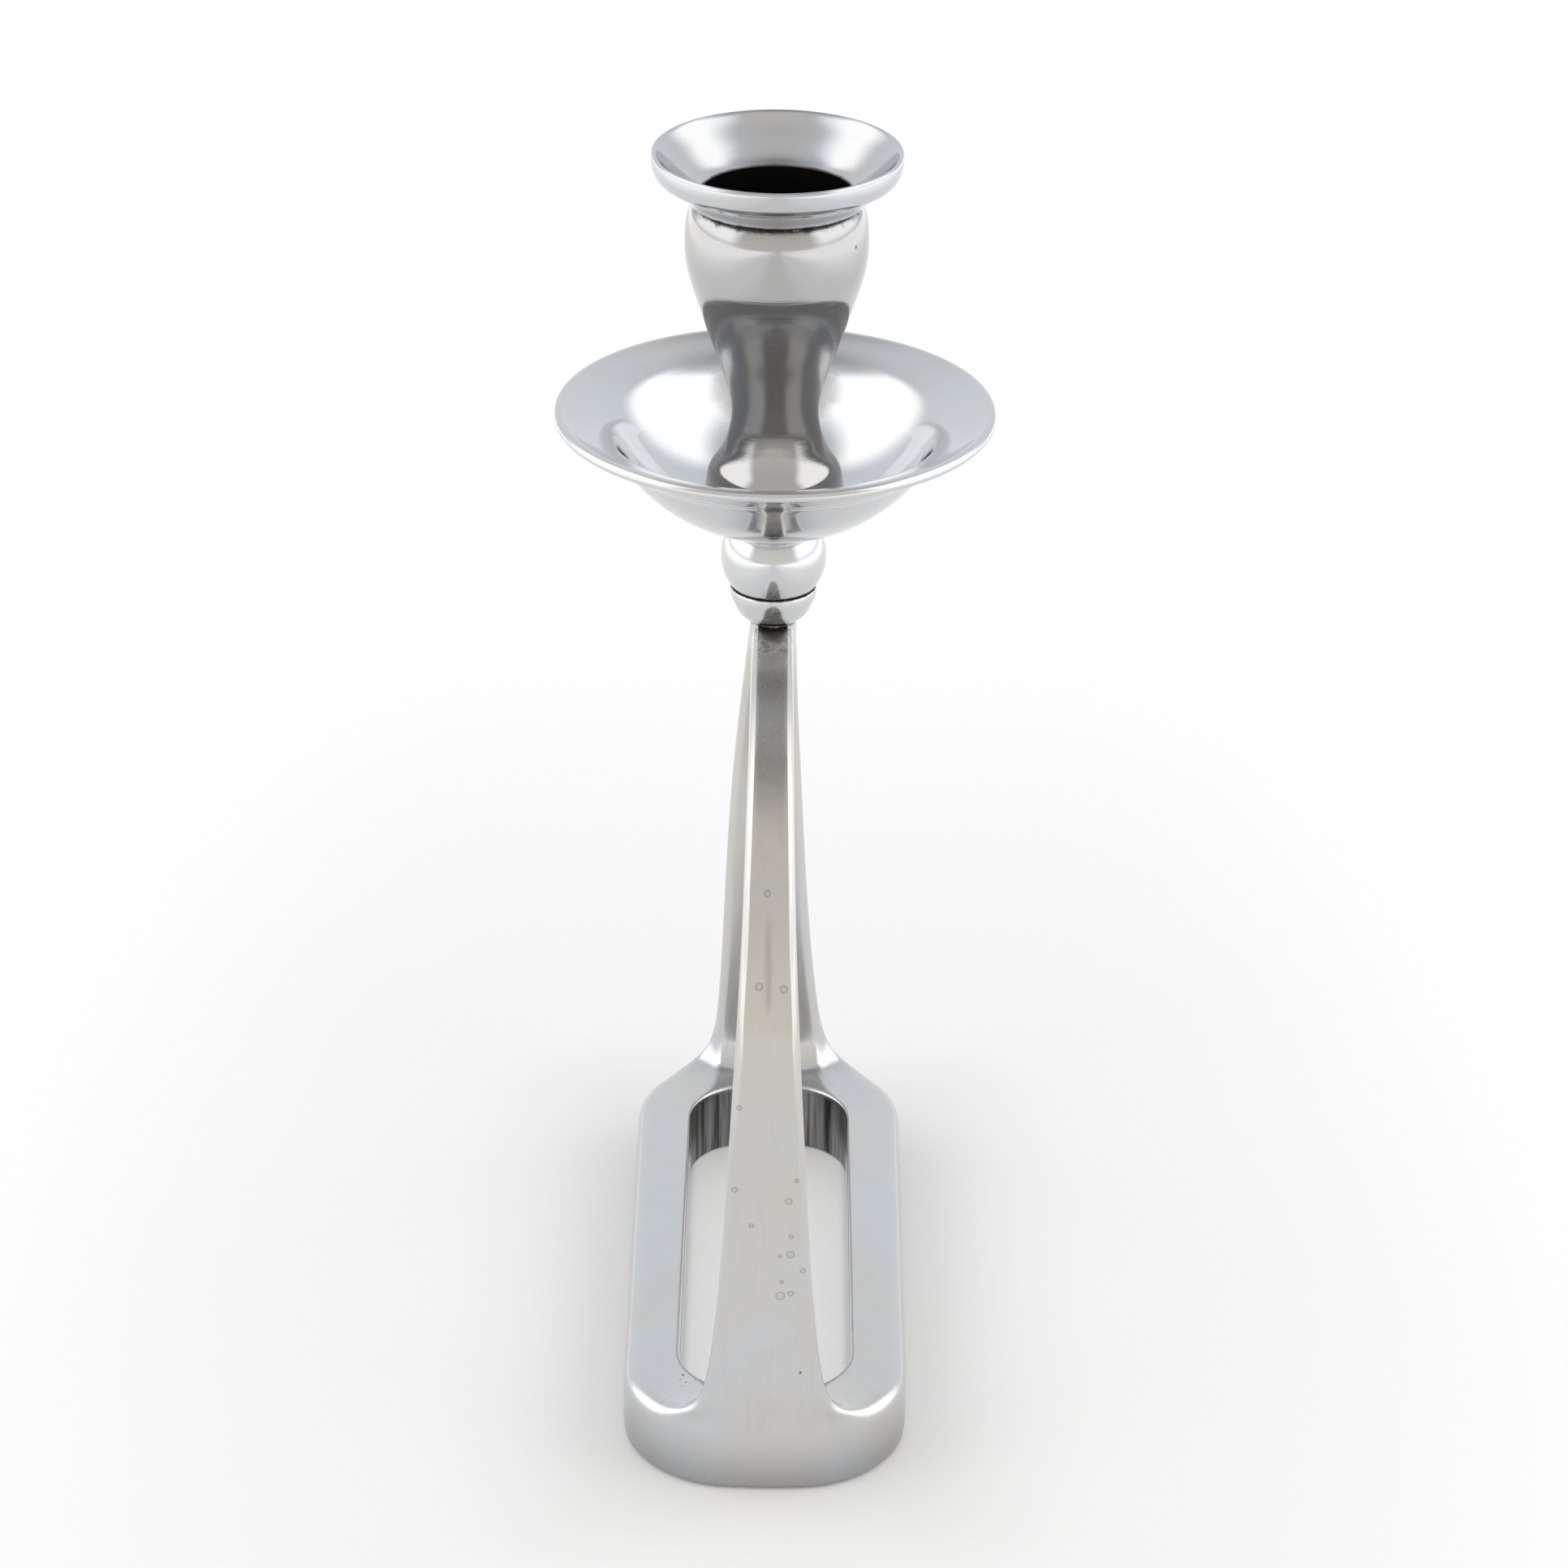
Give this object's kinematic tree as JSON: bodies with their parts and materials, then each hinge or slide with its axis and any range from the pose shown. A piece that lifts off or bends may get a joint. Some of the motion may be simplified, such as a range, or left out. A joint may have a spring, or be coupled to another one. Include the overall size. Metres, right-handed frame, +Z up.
{
  "type": "candlestick",
  "caption": "Polished silver candlestick with an open oval foot, an arched stand of two flat legs, a ball knop, a wide round drip pan and a vase-shaped candle cup with a flared mouth.",
  "frame": {"origin": "centre of the foot's outline on the floor, under the candle", "axes": "+Z up along the candle, +Y along the long side of the foot, from the front leg to the rear leg"},
  "size_m": [0.0678, 0.117, 0.2],
  "materials": {
    "polished_silver": "polished silver plate, softened by hand polishing, with fine hairlines, faint tarnish and small pits",
    "bolt_steel": "plain steel, turned and slightly dull"
  },
  "bodies": {
    "root": {"foot_ring": "polished_silver", "front_leg": "polished_silver", "rear_leg": "polished_silver", "crown_boss": "polished_silver", "collar_cup": "polished_silver", "ball_knop": "polished_silver", "drip_pan": "polished_silver", "cup_stem": "polished_silver", "candle_cup": "polished_silver", "mouth_ring": "polished_silver", "tie_bolt": "bolt_steel", "bolt_washer": "bolt_steel"}
  },
  "joints": []
}
